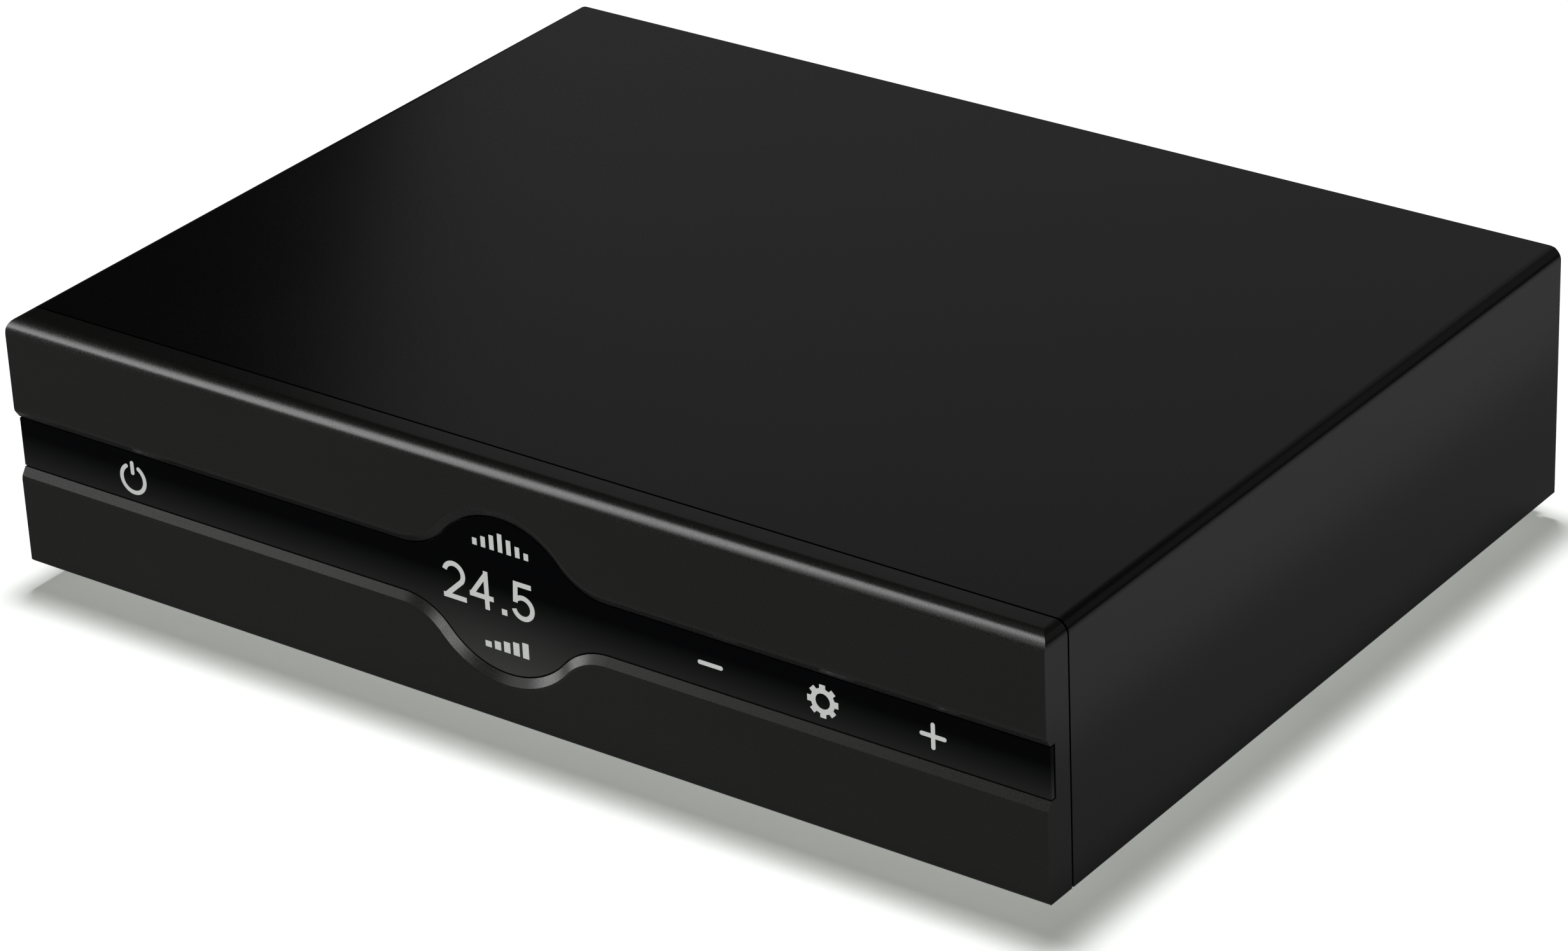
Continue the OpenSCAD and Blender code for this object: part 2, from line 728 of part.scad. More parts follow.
washer_z = toroid_z + toroid_h + toroid_z - base_top;
module transformer_washer() {
    at_place() color("#b0b3b6") translate([toroid_at[0], toroid_at[1], washer_z]) difference() {
        rod_z(0, 1.6, 30);
        rod_z(-cut, 2 + cut, 2.7);
    }
}

module transformer_bolt() {
    at_place() color("#b8bcc0") translate([toroid_at[0], toroid_at[1], 0]) {
        rod_z(base_z, washer_z + 3, 2.5);
        translate([0, 0, washer_z + 1.6]) cylinder(h = 3.4, r = 4.6, $fn = 6);
    }
}

supply_from = [-26, 24];
supply_to = [107, 92];
main_from = [-57, 102];
main_to = [107, 176.5];
screw_in = [4, 5];
// The rear edge of the main board hangs on its sockets, so its rear screws stand in front of them.
function corners(from, to, rear_y) =
    [for (x = [from[0] + screw_in[0], to[0] - screw_in[0]]) for (y = [from[1] + screw_in[1], rear_y]) [x, y]];
main_screw_rear = 154;
standoff_at = concat(corners(supply_from, supply_to, supply_to[1] - screw_in[1]),
    corners(main_from, main_to, main_screw_rear));

module deck(from, to) {
    difference() {
        slab([from[0], from[1], deck_z], [to[0], to[1], deck_top]);
        for (p = standoff_at) translate(p) rod_z(deck_z - cut, deck_top + cut, screw_hole_r);
    }
}
module supply_board() { at_place() color("#1d4a33") deck(supply_from, supply_to); }
module main_board() { at_place() color("#16283f") deck(main_from, main_to); }

module board_standoffs() {
    at_place() color("#c9a24a") for (p = standoff_at) translate(p) difference() {
        translate([0, 0, base_top]) cylinder(h = deck_z - base_top, r = 3, $fn = 6);
        rod_z(0, deck_z + cut, screw_hole_r);
    }
}

module board_screws() {
    at_place() color("#b8bcc0") for (p = standoff_at) {
        translate([p[0], p[1], deck_top]) screw_down(4);
        translate([p[0], p[1], base_z]) screw_up(4);
    }
}

module reservoir_capacitors() {
    capacitor_r = 9;
    capacitor_top = 40;
    at_place() color("#20242c") for (x = [-6, 16]) for (y = [44, 68])
        translate([x, y, 0]) rod_z(deck_top, capacitor_top, capacitor_r);
}

module bridge_rectifier() {
    at_place() color("#1a1a1a") slab([34, 42, deck_top], [38, 62, 26]);
}

heatsink_y = 76;
module supply_heatsink() {
    fins = 9;
    fin_t = 3;
    from_x = 40;
    to_x = 96;
    top = 38;
    at_place() color("#3b3e42") {
        slab([from_x, heatsink_y, deck_top], [to_x, heatsink_y + fin_t, top]);
        for (i = [0 : fins - 1]) translate([from_x + i * (to_x - from_x - fin_t) / (fins - 1), 0, 0])
            slab([0, heatsink_y + 2, deck_top], [fin_t, heatsink_y + 10, top]);
    }
}

module regulators() {
    at_place() color("#1a1a1a") for (x = [46, 60, 74, 88])
        slab([x - 5, heatsink_y - 4.5, deck_top + 4], [x + 5, heatsink_y, deck_top + 20]);
}

module chip(at, size) {
    slab([at[0], at[1], deck_top], [at[0] + size[0], at[1] + size[1], deck_top + size[2]]);
}
module board_chips() {
    at_place() color("#121315") {
        chip([-26, 120], [16, 16, 1.4]);
        chip([-48, 120], [14, 9, 1.1]);
        chip([4, 128], [10, 10, 1.2]);
        for (x = [48, 84]) chip([x, 126], [9, 9, 1.2]);
        for (x = [44, 56, 80, 92]) chip([x, 146], [5, 6, 1.6]);
        for (x = [24, 30]) chip([x, 140], [4, 6, 2.2]);
    }
}

module processor_heatsink() {
    at_place() color("#4a4e53") {
        slab([-28, 118, deck_top + 1.4], [-8, 138, deck_top + 4]);
        for (i = [0 : 5]) slab([-28 + i * 3.6, 118, deck_top + 3], [-26 + i * 3.6, 138, deck_top + 12]);
    }
}

module output_relays() {
    at_place() color("#e7e5df") for (x = [60, 74]) chip([x, 128], [7.4, 15, 10]);
}

module board_capacitors() {
    at_place() color("#8f1f1b") {
        for (x = [42, 54, 76, 88]) chip([x, 109], [9, 4.5, 9]);
        for (x = [-40, -6, 14, 34]) translate([x, 112, 0]) rod_z(deck_top, deck_top + 11, 4);
    }
}

// A bar of constant section swept along a smooth route through the points.
function spline(p, i, t) =
    let (a = p[max(i - 1, 0)], b = p[i], c = p[i + 1], d = p[min(i + 2, len(p) - 1)])
    0.5 * (2 * b + (c - a) * t + (2 * a - 5 * b + 4 * c - d) * t * t + (3 * b - a - 3 * c + d) * t * t * t);
function route(p, steps) =
    concat([for (i = [0 : len(p) - 2]) for (s = [0 : steps - 1]) spline(p, i, s / steps)], [p[len(p) - 1]]);
function unit(v) = v / norm(v);
module sweep(points, section, across) {
    path = route(points, 4);
    last = len(path) - 1;
    sides = len(section);
    rings = [for (i = [0 : last])
        let (along = unit(path[min(i + 1, last)] - path[max(i - 1, 0)]))
        let (u = unit(across - (across * along) * along), v = cross(along, u))
        for (q = section) path[i] + q[0] * u + q[1] * v];
    walls = [for (i = [0 : last - 1]) for (k = [0 : sides - 1])
        let (a = i * sides + k, b = i * sides + (k + 1) % sides)
        each [[a, b, b + sides], [a, b + sides, a + sides]]];
    ends = [[for (k = [sides - 1 : -1 : 0]) k], [for (k = [0 : sides - 1]) last * sides + k]];
    polyhedron(rings, [for (f = concat(walls, ends)) [for (k = [len(f) - 1 : -1 : 0]) f[k]]], convexity = 6);
}

module ribbon_cable() {
    half = 9;
    half_t = 0.35;
    flat = [[-half, -half_t], [half, -half_t], [half, half_t], [-half, half_t]];
    at_place() color("#b9bbbd") sweep([[-6, 13.6, 40], [-6, 24, 42], [-6, 34, 44.5], [-6, 70, 44.5],
        [-6, 92, 42], [-6, 99, 30], [-6, 103.5, 16], [-6, 104.5, deck_top + 0.6]], flat, [1, 0, 0]);
}

module internal_wires() {
    wire_r = 1.1;
    sides = 8;
    round = [for (i = [0 : sides - 1]) wire_r * [cos(i * 360 / sides), sin(i * 360 / sides)]];
    at_place() color("#7a2a22") for (s = [0, 1]) {
        // From the inlet to the transformer
        sweep([[-100 + s * 14, 149.5, 29.5], [-99 + s * 14, 140, 29], [-92 + s * 10, 128 - s * 6, 24],
            [-84 + s * 8, 112, 20], [-84 + s * 8, 99, 18]], round, [1, 0, 0]);
        // From the switch to the transformer
        sweep([[-68 + s * 6, 159.9, 25], [-68 + s * 6, 146, 24], [-64 + s * 5, 124, 18],
            [-62 + s * 4, 108, 16], [-62 + s * 4, 98, 15]], round, [1, 0, 0]);
        // From the transformer to the supply board
        translate([0, 56 + s * 6, 0])
            sweep([[-33.8, 0, 22], [-28, 0, 23], [-21, 0, 18], [-20, 0, deck_top]], round, [0, 1, 0]);
        // From the supply board to the main board
        translate([64 + s * 6, 0, 0])
            sweep([[0, 89, deck_top], [0, 90, 15], [0, 97, 18], [0, 104, 15], [0, 105, deck_top]],
                round, [1, 0, 0]);
    }
}

front_panel();
display_lens();
lens_adhesive();
touch_symbols();
display_figures();
display_module();
touch_contacts();
control_board();
control_board_screws();
panel_screws();
top_cover();
base_plate();
rear_panel();
base_screws();
rear_panel_screws();
foot_front_left();
foot_front_right();
foot_rear_left();
foot_rear_right();
foot_screws();
mains_inlet();
inlet_blades();
fuse_drawer();
fuse();
power_switch_body();
power_rocker();
balanced_output_left();
balanced_output_right();
balanced_pins();
balanced_screws();
line_output_left();
line_output_right();
coaxial_input();
socket_insulators();
optical_input_one();
optical_input_two();
optical_shutter_one();
optical_shutter_two();
computer_port();
media_port();
network_port();
port_contacts();
transformer_winding();
transformer_pads();
transformer_washer();
transformer_bolt();
supply_board();
reservoir_capacitors();
bridge_rectifier();
regulators();
supply_heatsink();
main_board();
board_standoffs();
board_screws();
board_chips();
processor_heatsink();
output_relays();
board_capacitors();
ribbon_cable();
internal_wires();
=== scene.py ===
import bpy
import json
import math
from mathutils import Matrix, Vector


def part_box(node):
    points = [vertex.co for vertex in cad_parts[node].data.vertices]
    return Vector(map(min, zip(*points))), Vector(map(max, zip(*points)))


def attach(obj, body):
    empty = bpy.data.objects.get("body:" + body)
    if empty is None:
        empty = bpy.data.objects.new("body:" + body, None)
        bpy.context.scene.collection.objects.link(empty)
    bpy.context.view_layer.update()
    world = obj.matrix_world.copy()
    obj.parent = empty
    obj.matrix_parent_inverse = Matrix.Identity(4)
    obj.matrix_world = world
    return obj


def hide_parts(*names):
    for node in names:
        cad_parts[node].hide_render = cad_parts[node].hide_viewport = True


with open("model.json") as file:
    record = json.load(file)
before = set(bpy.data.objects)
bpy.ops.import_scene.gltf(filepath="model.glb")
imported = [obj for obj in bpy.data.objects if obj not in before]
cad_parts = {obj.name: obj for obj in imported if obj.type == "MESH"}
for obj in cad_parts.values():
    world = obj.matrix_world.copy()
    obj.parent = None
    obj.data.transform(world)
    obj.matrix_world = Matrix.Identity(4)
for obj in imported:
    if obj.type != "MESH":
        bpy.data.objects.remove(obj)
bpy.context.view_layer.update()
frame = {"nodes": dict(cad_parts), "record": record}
NODES = frame["nodes"]
MM = 0.001
CHASSIS = "chassis"
SMOOTH_BELOW = math.radians(8)
FLAT_WITHIN = math.radians(0.5)

# ---------------------------------------------------------------- driving sizes, in metres
# The shadow gap between the panel and the cover.
SEAM = 0.5 * MM
# The long roundings: the case's top corners, the panel's brow and its lower chamfer.
CORNER_R = 2.6 * MM
BROW_R = 3.5 * MM
CHAMFER = 0.5 * MM
# The groove: half its height, the round bulge, and the flares that lead into the bulge.
STRIP_HALF = 7.1 * MM
BULGE_R = 19.5 * MM
BULGE_DROP = 1.5 * MM
FLARE_R = 12.4 * MM
GROOVE_D = 2.7 * MM
# The bevel along the groove, and the slight easing where the front face meets it.
BEVEL_W = 1.6 * MM
EASE_W = 0.7 * MM
EASE_D = 0.12 * MM
# The gap between the glossy strip and the bevel.
LENS_SLACK = 0.3 * MM
# The rim behind the panel, and how far it lies inside the case's outline.
RIM_DEPTH = 3 * MM
RIM_WALL = 3 * MM
RIM_OVERLAP = 0.5 * MM
RIM_INSET = 3.4 * MM
RIM_LIFT = 3.3 * MM
# The bent sheet of the cover, and its eased rear edge.
COVER_WALL = 3 * MM
REAR_EASE = 0.25 * MM
# Small true roundings of edges: the shells', the CAD pieces', and a few CAD pieces' larger ones.
PANEL_EDGE = 0.15 * MM
RIM_EDGE = 0.2 * MM
STRIP_EDGE = 0.1 * MM
CAD_EDGE = 0.12 * MM
CAD_EDGES = {
    "rear_panel": 0.25 * MM,
    "base_plate": 0.3 * MM,
    "mains_inlet": 0.4 * MM,
    "fuse_drawer": 0.3 * MM,
    "power_switch_body": 0.4 * MM,
    "power_rocker": 0.5 * MM,
}
# Steps along each rounding, flare, bulge and straight end of the outlines.
ROUND_STEPS = 16
FLARE_STEPS = 14
BULGE_STEPS = 40
END_STEPS = 6

panel_lo, panel_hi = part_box("front_panel")
cover_lo, cover_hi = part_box("top_cover")
lens_lo, lens_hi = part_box("display_lens")
HALF_W = panel_hi.x
FRONT_Y = panel_lo.y
CASE_LOW = panel_lo.z
CASE_TOP = panel_hi.z
PANEL_BACK = cover_lo.y - SEAM
STRIP_Z = (lens_lo.z + lens_hi.z) / 2
BEVEL_D = lens_lo.y - FRONT_Y
FLARE_Z = STRIP_HALF + FLARE_R
FLARE_X = math.sqrt((BULGE_R + FLARE_R) ** 2 - (FLARE_Z + BULGE_DROP) ** 2)
FLARE_ANGLE = math.atan2(FLARE_Z + BULGE_DROP, FLARE_X)


# ---------------------------------------------------------------- materials
# The middle of a noise's range, where most of it lies.
NOISE_LOW, NOISE_HIGH = 0.3, 0.7
# How far a rounded normal turns from the true one, from the flat of a face to an edge.
TURN_FLAT, TURN_EDGE = 0.02, 0.3
RIBBON_PITCH = 1.27 * MM
WINDING_TURNS = 64.0


class Look:
    """A Principled material whose colour, roughness and bump come from object-space noise."""

    def __init__(self, name):
        self.material = bpy.data.materials.new(name)
        self.material.use_nodes = True
        self.nodes = self.material.node_tree.nodes
        self.links = self.material.node_tree.links
        self.shader = self.nodes["Principled BSDF"]
        self.place = self.nodes.new("ShaderNodeTexCoord").outputs["Object"]

    def put(self, socket, value):
        """Links a node's output to a socket, or sets a plain value on it."""
        if isinstance(value, bpy.types.NodeSocket):
            self.links.new(value, socket)
        else:
            socket.default_value = value

    def set(self, **values):
        """Sets the shader's own sockets by name, with _ for a space."""
        for key, value in values.items():
            self.put(self.shader.inputs[key.replace("_", " ")], value)

    def stretch(self, x, y, z):
        """The place with each axis scaled: a small scale draws a pattern out along that axis."""
        node = self.nodes.new("ShaderNodeMapping")
        node.inputs["Scale"].default_value = (x, y, z)
        self.links.new(self.place, node.inputs["Vector"])
        return node.outputs["Vector"]

    def noise(self, size, detail=2.0, place=None):
        """Noise whose features are about size metres across."""
        node = self.nodes.new("ShaderNodeTexNoise")
        node.inputs["Scale"].default_value = 1 / size
        node.inputs["Detail"].default_value = detail
        self.links.new(place or self.place, node.inputs["Vector"])
        return node.outputs["Fac"]

    def cells(self, size):
        """Distance from the middle of round cells about size metres across."""
        node = self.nodes.new("ShaderNodeTexVoronoi")
        node.inputs["Scale"].default_value = 1 / size
        self.links.new(self.place, node.inputs["Vector"])
        return node.outputs["Distance"]

    def fit(self, value, low, high, to_low=0.0, to_high=1.0):
        """Carries the range low to high to the range to_low to to_high, and holds its ends."""
        node = self.nodes.new("ShaderNodeMapRange")
        node.inputs["From Min"].default_value = low
        node.inputs["From Max"].default_value = high
        node.inputs["To Min"].default_value = to_low
        node.inputs["To Max"].default_value = to_high
        self.links.new(value, node.inputs["Value"])
        return node.outputs["Result"]

    def vary(self, noise, to_low=0.0, to_high=1.0):
        """Carries the middle of a noise's range to a range of the finish."""
        return self.fit(noise, NOISE_LOW, NOISE_HIGH, to_low, to_high)

    def combine(self, a, b, operation="ADD"):
        """One step of arithmetic on two values."""
        node = self.nodes.new("ShaderNodeMath")
        node.operation = operation
        self.put(node.inputs[0], a)
        self.put(node.inputs[1], b)
        return node.outputs[0]

    def mix(self, factor, a, b):
        """A colour between a, where factor is 0, and b, where it is 1."""
        node = self.nodes.new("ShaderNodeMix")
        node.data_type = "RGBA"
        self.put(node.inputs["Factor"], factor)
        for name, value in (("A", a), ("B", b)):
            socket = next(s for s in node.inputs if s.name == name and s.type == "RGBA")
            self.put(socket, (*value, 1) if isinstance(value, tuple) else value)
        return next(s for s in node.outputs if s.type == "RGBA")

    def along(self, axis):
        """One coordinate of the place, X, Y or Z."""
        node = self.nodes.new("ShaderNodeSeparateXYZ")
        self.links.new(self.place, node.inputs[0])
        return node.outputs[axis]

    def edges(self, radius):
        """0 on flat faces and 1 on edges, from how far a rounded normal leaves the true one."""
        soft = self.nodes.new("ShaderNodeBevel")
        soft.samples = 4
        soft.inputs["Radius"].default_value = radius
        geometry = self.nodes.new("ShaderNodeNewGeometry")
        dot = self.nodes.new("ShaderNodeVectorMath")
        dot.operation = "DOT_PRODUCT"
        self.links.new(soft.outputs["Normal"], dot.inputs[0])
        self.links.new(geometry.outputs["Normal"], dot.inputs[1])
        turn = self.combine(1.0, dot.outputs["Value"], "SUBTRACT")
        return self.fit(turn, TURN_FLAT, TURN_EDGE)

    def bump(self, height, strength, depth):
        node = self.nodes.new("ShaderNodeBump")
        node.inputs["Strength"].default_value = strength
        node.inputs["Distance"].default_value = depth
        self.links.new(height, node.inputs["Height"])
        self.links.new(node.outputs["Normal"], self.shader.inputs["Normal"])


def shade(colour, factor):
    """A colour made lighter or darker."""
    return tuple(channel * factor for channel in colour)


def blasted(name, colour, roughness, grain=0.25 * MM, depth=0.018 * MM, metal=0.0, level=0.5):
    """Bead-blasted and anodised aluminium: fine grain, faint clouds, slightly rubbed edges."""
    look = Look(name)
    fine = look.noise(grain, 3)
    clouds = look.noise(35 * MM, 3)
    body = look.mix(look.vary(fine), shade(colour, 0.8), shade(colour, 1.2))
    body = look.mix(look.fit(clouds, 0.35, 0.65, 0, 0.3), body, shade(colour, 1.25))
    rubbed = look.edges(0.35 * MM)
    body = look.mix(look.combine(rubbed, 0.6, "MULTIPLY"), body, shade(colour, 1.7))
    drift = look.vary(clouds, -0.01, 0.01)
    rough = look.combine(drift, look.vary(fine, roughness - 0.05, roughness + 0.05))
    look.set(Base_Color=body, Roughness=rough, Metallic=metal, Specular_IOR_Level=level)
    look.bump(fine, 0.35, depth)
    return look.material


def moulded(name, colour, roughness, grain=0.5 * MM, depth=0.02 * MM, gloss=0.0, level=0.5):
    """Moulded plastic or rubber with a spark-eroded texture."""
    look = Look(name)
    fine = look.noise(grain, 4)
    clouds = look.noise(12 * MM, 2)
    body = look.mix(look.vary(fine), shade(colour, 0.85), shade(colour, 1.15))
    body = look.mix(look.combine(look.edges(0.3 * MM), 0.5, "MULTIPLY"), body, shade(colour, 1.5))
    rough = look.vary(clouds, roughness - 0.06, roughness + 0.06)
    look.set(Base_Color=body, Roughness=rough, Specular_IOR_Level=level)
    look.set(Coat_Weight=gloss, Coat_Roughness=0.12)
    look.bump(fine, 0.4, depth)
    return look.material


def plated(name, colour, roughness, along=(1, 1, 1)):
    """Bright metal with fine drawn lines, and slight tarnish in patches."""
    look = Look(name)
    lines = look.noise(0.12 * MM, 2, look.stretch(*along))
    patches = look.noise(6 * MM, 3)
    body = look.mix(look.fit(patches, 0.4, 0.7, 0, 0.5), colour, shade(colour, 0.72))
    drawn = look.vary(lines, 0, 0.12)
    rough = look.combine(drawn, look.fit(patches, 0.4, 0.7, roughness, roughness + 0.1))
    look.set(Base_Color=body, Roughness=rough, Metallic=1.0)
    look.bump(lines, 0.2, 0.01 * MM)
    return look.material


def circuit(name, colour):
    """Solder mask over a layout of copper lines and pads."""
    look = Look(name)
    across = look.noise(2.2 * MM, 0, look.stretch(1, 0.12, 1))
    down = look.noise(2.2 * MM, 0, look.stretch(0.12, 1, 1))
    lines = look.combine(look.fit(across, 0.5, 0.52), look.fit(down, 0.5, 0.52), "MAXIMUM")
    pads = look.fit(look.cells(5 * MM), 0.12, 0.1)
    body = look.mix(look.combine(lines, 0.7, "MULTIPLY"), colour, shade(colour, 1.9))
    body = look.mix(pads, body, (0.65, 0.63, 0.58))
    look.set(Base_Color=body, Roughness=look.vary(look.noise(4 * MM), 0.25, 0.4))
    look.bump(lines, 0.5, 0.04 * MM)
    return look.material


def glossy_strip(name):
    """Black gloss with a painted reflection: its colour lifts to dark grey towards the lower edge of the
    round display.
    """
    look = Look(name)
    height = look.combine(look.along("Z"), STRIP_Z, "SUBTRACT")
    # Painted reflection: the base colour grows lighter towards the strip's lower edge.
    painted_reflection = look.fit(height, 2 * MM, -16 * MM)
    painted_reflection = look.combine(painted_reflection, 1.25, "POWER")
    body = look.mix(painted_reflection, (0.0040, 0.0044, 0.0060), (0.23, 0.238, 0.222))
    smudge = look.fit(look.noise(18 * MM, 4), 0.35, 0.7, 0.07, 0.14)
    look.set(Base_Color=body, Roughness=smudge, Specular_IOR_Level=0.05)
    look.bump(look.noise(9 * MM, 1), 0.04, 0.02 * MM)
    return look.material


def lit_print(name):
    """White print lit evenly from behind, with a faint screen grain."""
    look = Look(name)
    grain = look.noise(0.3 * MM, 2)
    tone = look.mix(look.vary(grain), (0.74, 0.76, 0.74), (0.86, 0.87, 0.85))
    dim = look.mix(look.vary(grain), (0.52, 0.54, 0.52), (0.60, 0.61, 0.60))
    look.set(Base_Color=dim, Roughness=0.5, Specular_IOR_Level=0.2)
    look.set(Emission_Color=tone, Emission_Strength=0.5)
    look.bump(grain, 0.05, 0.01 * MM)
    return look.material


def wound(name, colour):
    """Film tape wound round a ring, each turn overlapping the last."""
    look = Look(name)
    lo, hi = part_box("transformer_winding")
    shift = look.nodes.new("ShaderNodeMapping")
    shift.inputs["Location"].default_value = (-(lo.x + hi.x) / 2, -(lo.y + hi.y) / 2, 0)
    look.links.new(look.place, shift.inputs["Vector"])
    wave = look.nodes.new("ShaderNodeTexGradient")
    wave.gradient_type = "RADIAL"
    look.links.new(shift.outputs["Vector"], wave.inputs["Vector"])
    turns = look.combine(look.combine(wave.outputs["Fac"], WINDING_TURNS, "MULTIPLY"), 1.0, "FRACT")
    body = look.mix(look.fit(turns, 0, 1), shade(colour, 0.7), shade(colour, 1.2))
    look.set(Base_Color=body, Roughness=look.vary(look.noise(3 * MM), 0.2, 0.35), Coat_Weight=0.4)
    look.bump(turns, 0.5, 0.2 * MM)
    return look.material


def ribbed(name, colour):
    """Flat cable: one rib for each core, with painted shade darkening the grooves between the ribs."""
    look = Look(name)
    core = look.combine(look.combine(look.along("X"), 1 / RIBBON_PITCH, "MULTIPLY"), 1.0, "FRACT")
    rib = look.combine(look.combine(core, 0.5, "SUBTRACT"), 0.0, "ABSOLUTE")
    # Painted shade: the colour darkens in the grooves between the ribs.
    body = look.mix(look.fit(rib, 0.3, 0.5), colour, shade(colour, 0.55))
    look.set(Base_Color=body, Roughness=look.vary(look.noise(2 * MM), 0.4, 0.55))
    look.bump(look.combine(0.5, rib, "SUBTRACT"), 0.6, 0.2 * MM)
    return look.material


def clear_glass(name):
    """The fuse's tube, pale and slightly hazy."""
    look = Look(name)
    haze = look.noise(2 * MM)
    look.set(
        Base_Color=look.mix(look.vary(haze), (0.80, 0.84, 0.85), (0.9, 0.92, 0.92)),
        Roughness=look.vary(haze, 0.04, 0.1),
    )
    look.bump(haze, 0.05, 0.01 * MM)
    return look.material


ANODISED = (0.0020, 0.0022, 0.0018)
LOOKS = {
    "anodised_black": blasted("anodised_black", ANODISED, 0.25),
    "glossy_strip": glossy_strip("glossy_strip"),
    "white_print": lit_print("white_print"),
    "black_foam": moulded("black_foam", (0.012, 0.012, 0.012), 0.85, 0.6 * MM, 0.08 * MM, level=0.2),
    "dark_glass": moulded("dark_glass", (0.008, 0.009, 0.011), 0.15, 2 * MM, 0.005 * MM, gloss=0.6),
    "gold_plate": plated("gold_plate", (0.80, 0.58, 0.24), 0.16, (1, 0.1, 1)),
    "green_board": circuit("green_board", (0.012, 0.075, 0.035)),
    "blue_board": circuit("blue_board", (0.008, 0.022, 0.075)),
    "bright_screw": plated("bright_screw", (0.56, 0.57, 0.59), 0.24),
    "black_screw": plated("black_screw", (0.035, 0.035, 0.038), 0.32),
    "grey_steel": blasted("grey_steel", (0.030, 0.032, 0.033), 0.5, 0.6 * MM, 0.06 * MM),
    "black_rubber": moulded("black_rubber", (0.012, 0.012, 0.0125), 0.72, 0.4 * MM, 0.04 * MM, level=0.3),
    "black_moulding": moulded("black_moulding", (0.014, 0.014, 0.015), 0.45),
    "black_shell": blasted("black_shell", (0.016, 0.0165, 0.018), 0.38, 0.5 * MM, 0.03 * MM, metal=0.3),
    "plated_contact": plated("plated_contact", (0.68, 0.67, 0.64), 0.18, (1, 0.1, 1)),
    "fuse_glass": clear_glass("fuse_glass"),
    "white_moulding": moulded("white_moulding", (0.70, 0.69, 0.65), 0.4),
    "port_steel": plated("port_steel", (0.58, 0.59, 0.60), 0.28, (1, 0.08, 1)),
    "winding_tape": wound("winding_tape", (0.45, 0.29, 0.10)),
    "capacitor_sleeve": moulded("capacitor_sleeve", (0.012, 0.016, 0.03), 0.22, MM, 0.01 * MM, gloss=0.4),
    "black_resin": moulded("black_resin", (0.012, 0.012, 0.013), 0.5, 0.3 * MM),
    "dark_heatsink": blasted("dark_heatsink", (0.022, 0.023, 0.025), 0.36, metal=0.5),
    "red_film": moulded("red_film", (0.33, 0.028, 0.02), 0.25, 1.5 * MM, 0.02 * MM, gloss=0.3),
    "grey_ribbon": ribbed("grey_ribbon", (0.42, 0.43, 0.45)),
}
# The groove's lower bevel has a copy of the panel's finish with a weaker gloss, painted lighter than the
# panel: painted light that makes the band read brighter.
LIGHTER_BEVEL = blasted("bevel_painted_lighter", shade(ANODISED, 1.5), 0.29, level=0.12)


# ---------------------------------------------------------------- mesh helpers
def piece(name, vertices, faces, slot, replaces=()):
    """A smooth-shaded mesh piece on the chassis, which may stand for some CAD nodes."""
    mesh = bpy.data.meshes.new(name)
    mesh.from_pydata([tuple(v) for v in vertices], [], faces)
    mesh.validate()
    mesh.update()
    mesh.materials.append(LOOKS[slot])
    mesh.polygons.foreach_set("use_smooth", [True] * len(mesh.polygons))
    mesh.set_sharp_from_angle(angle=SMOOTH_BELOW)
    made = bpy.data.objects.new(name, mesh)
    bpy.context.scene.collection.objects.link(made)
    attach(made, CHASSIS)
    if replaces:
        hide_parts(*replaces)
    return made


def soften(made, width, segments=3, angle=20):
    """Rounds the sharp edges of a piece by a small true radius."""
    bevel = made.modifiers.new("soft_edges", "BEVEL")
    bevel.width = width
    bevel.segments = segments
    bevel.limit_method = "ANGLE"
    bevel.angle_limit = math.radians(angle)
    bevel.use_clamp_overlap = True
    bevel.harden_normals = True
    return made


def loft(rings):
    """Faces of a solid that joins closed rings of the same length, with an end cap on each end."""
    count = len(rings[0])
    vertices = [v for ring in rings for v in ring]
    faces = []
    for i in range(len(rings) - 1):
        for k in range(count):
            a, b = i * count + k, i * count + (k + 1) % count
            faces.append((a, b, b + count, a + count))
    last = (len(rings) - 1) * count
    faces.append(tuple(reversed(range(count))))
    faces.append(tuple(last + k for k in range(count)))
    return vertices, faces


def band(rings):
    """Faces of a frame: each ring is joined to the next, and the last one to the first."""
    count, corners = len(rings), len(rings[0])
    faces = []
    for i in range(count):
        for k in range(corners):
            near, far = i * corners, (i + 1) % count * corners
            turn = (k + 1) % corners
            faces.append((near + k, near + turn, far + turn, far + k))
    return [v for ring in rings for v in ring], faces


def arc(centre, radius, angles):
    """Points of a circle at the given angles."""
    return [(centre[0] + radius * math.cos(a), centre[1] + radius * math.sin(a)) for a in angles]


def spread(start, stop, steps):
    """Evenly spaced values from start to stop, both included."""
    return [start + (stop - start) * i / steps for i in range(steps + 1)]


# ---------------------------------------------------------------- front panel and strip
def contour(inset):
    """(x, height above the strip's centre) along the groove's upper edge, from left to right."""
    flare, bulge = FLARE_R + inset, BULGE_R - inset
    left = spread(-math.pi / 2, -FLARE_ANGLE, FLARE_STEPS)
    middle = spread(math.pi - FLARE_ANGLE, FLARE_ANGLE, BULGE_STEPS)
    right = spread(math.pi + FLARE_ANGLE, 3 * math.pi / 2, FLARE_STEPS)
    points = arc((-FLARE_X, FLARE_Z), flare, left)
    points += arc((0, -BULGE_DROP), bulge, middle[1:-1])
    points += arc((FLARE_X, FLARE_Z), flare, right)
    flat = STRIP_HALF - inset
    ends = spread(HALF_W - CORNER_R, FLARE_X, END_STEPS)[:-1]
    return [(-x, flat) for x in ends] + points + [(x, flat) for x in reversed(ends)]


